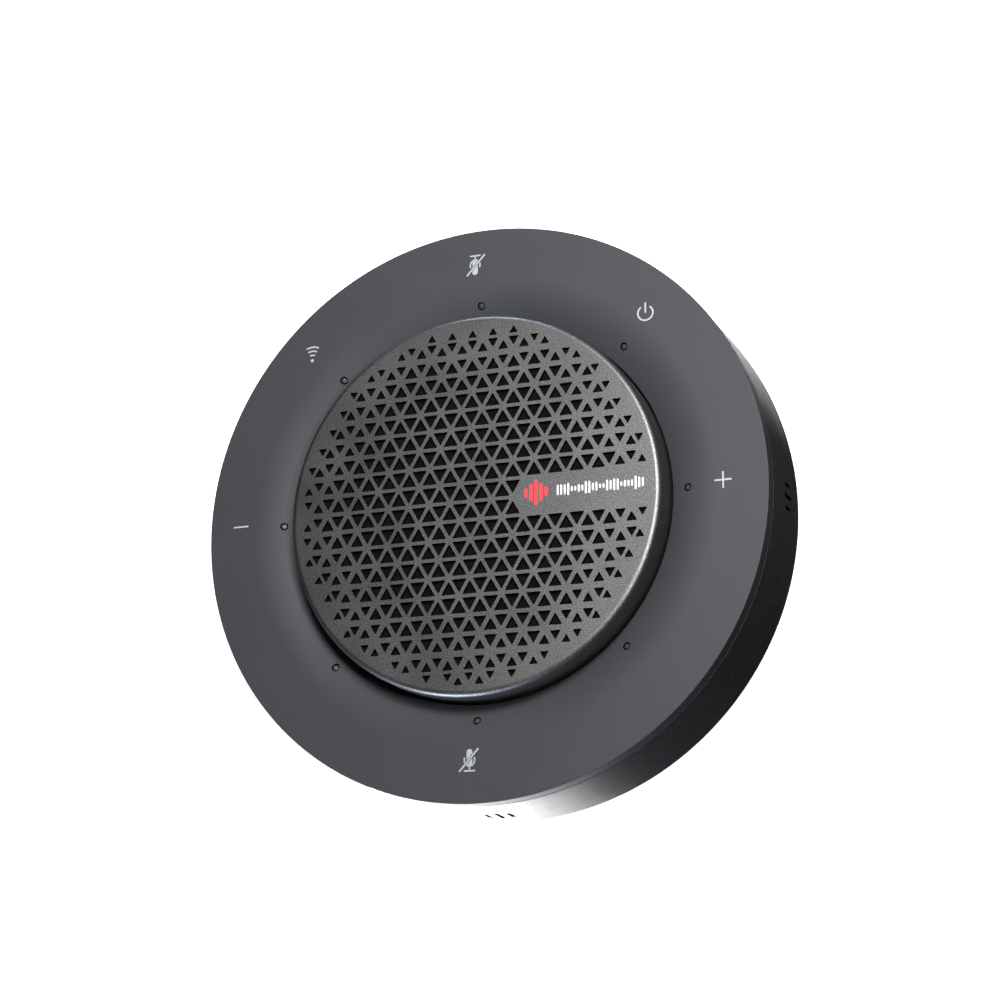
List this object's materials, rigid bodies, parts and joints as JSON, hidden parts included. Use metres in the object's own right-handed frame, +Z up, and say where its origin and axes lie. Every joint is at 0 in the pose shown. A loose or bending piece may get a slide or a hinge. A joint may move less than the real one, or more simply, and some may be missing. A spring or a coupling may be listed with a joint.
{
  "type": "conference speakerphone",
  "caption": "Round desk speakerphone: a touch ring with indicator lights and keys around a raised grille, mic slots in the side wall, and a rubber foot.",
  "frame": {"origin": "on the table, under the centre of the round case", "axes": "+Z up; +Y from the centre to the mute key that is printed upside down; +X to the volume-up key"},
  "size_m": [0.12, 0.12, 0.0286],
  "materials": {
    "ring_plastic": "soft-touch dark grey paint on ABS",
    "shell_plastic": "fine spark-textured black ABS",
    "grille_metal": "fine-sand metallic grey coat on punched steel",
    "cloth": "black acoustic cloth",
    "frame_plastic": "moulded black PC-ABS",
    "film": "polyimide flex",
    "board": "solder-masked fibreglass",
    "rubber": "moulded silicone rubber",
    "foam": "closed-cell foam",
    "steel": "zinc-plated steel",
    "cone_paper": "coated paper pulp",
    "dome": "drawn aluminium foil",
    "former": "polyimide former",
    "copper": "enamelled copper wire",
    "spider_cloth": "impregnated cotton",
    "magnet_nickel": "nickel-plated neodymium",
    "package_black": "epoxy chip package",
    "connector_ivory": "moulded nylon",
    "battery_wrap": "shrink wrap over the cell",
    "lead_insulation": "PVC insulated wire",
    "lens": "smoked polycarbonate"
  },
  "bodies": {
    "root": {"top_ring": "ring_plastic", "speaker_grille": "grille_metal", "grille_cloth": "cloth", "grille_frame": "frame_plastic", "touch_film": "film", "led_board": "board", "mid_frame": "frame_plastic", "lower_shell": "shell_plastic", "foot_ring": "rubber", "case_screws": "steel", "ring_screws": "steel", "chamber_seal": "foam", "speaker_basket": "frame_plastic", "speaker_gasket": "foam", "speaker_screws": "steel", "surround": "rubber", "spider": "spider_cloth", "top_plate": "steel", "magnet": "magnet_nickel", "yoke": "steel", "main_board": "board", "board_screws": "steel", "processor": "package_black", "amplifier": "package_black", "radio_can": "steel", "battery_header": "connector_ivory", "usb_shell": "steel", "usb_tongue": "package_black", "battery_pack": "battery_wrap", "battery_pad": "foam", "battery_lead": "lead_insulation", "speaker_lead": "lead_insulation", "led_header": "connector_ivory", "led_flex": "film", "led_lens_1": "lens", "led_lens_2": "lens", "led_lens_3": "lens", "led_lens_4": "lens", "led_lens_5": "lens", "led_lens_6": "lens", "led_lens_7": "lens", "led_lens_8": "lens", "mic_boot_1": "rubber", "mic_board_1": "board", "microphone_1": "steel", "mic_boot_2": "rubber", "mic_board_2": "board", "microphone_2": "steel", "mic_boot_3": "rubber", "mic_board_3": "board", "microphone_3": "steel", "mic_boot_4": "rubber", "mic_board_4": "board", "microphone_4": "steel"},
    "diaphragm": {"cone": "cone_paper", "dust_cap": "dome", "coil_former": "former", "coil_winding": "copper"}
  },
  "joints": [
    {"name": "diaphragm_travel", "type": "slide", "parent": "root", "child": "diaphragm", "axis": [0, 0, 1], "range_m": [-0.0015, 0.0015], "stiffness_N_per_m": 1500, "deforming": ["surround", "spider"]}
  ]
}
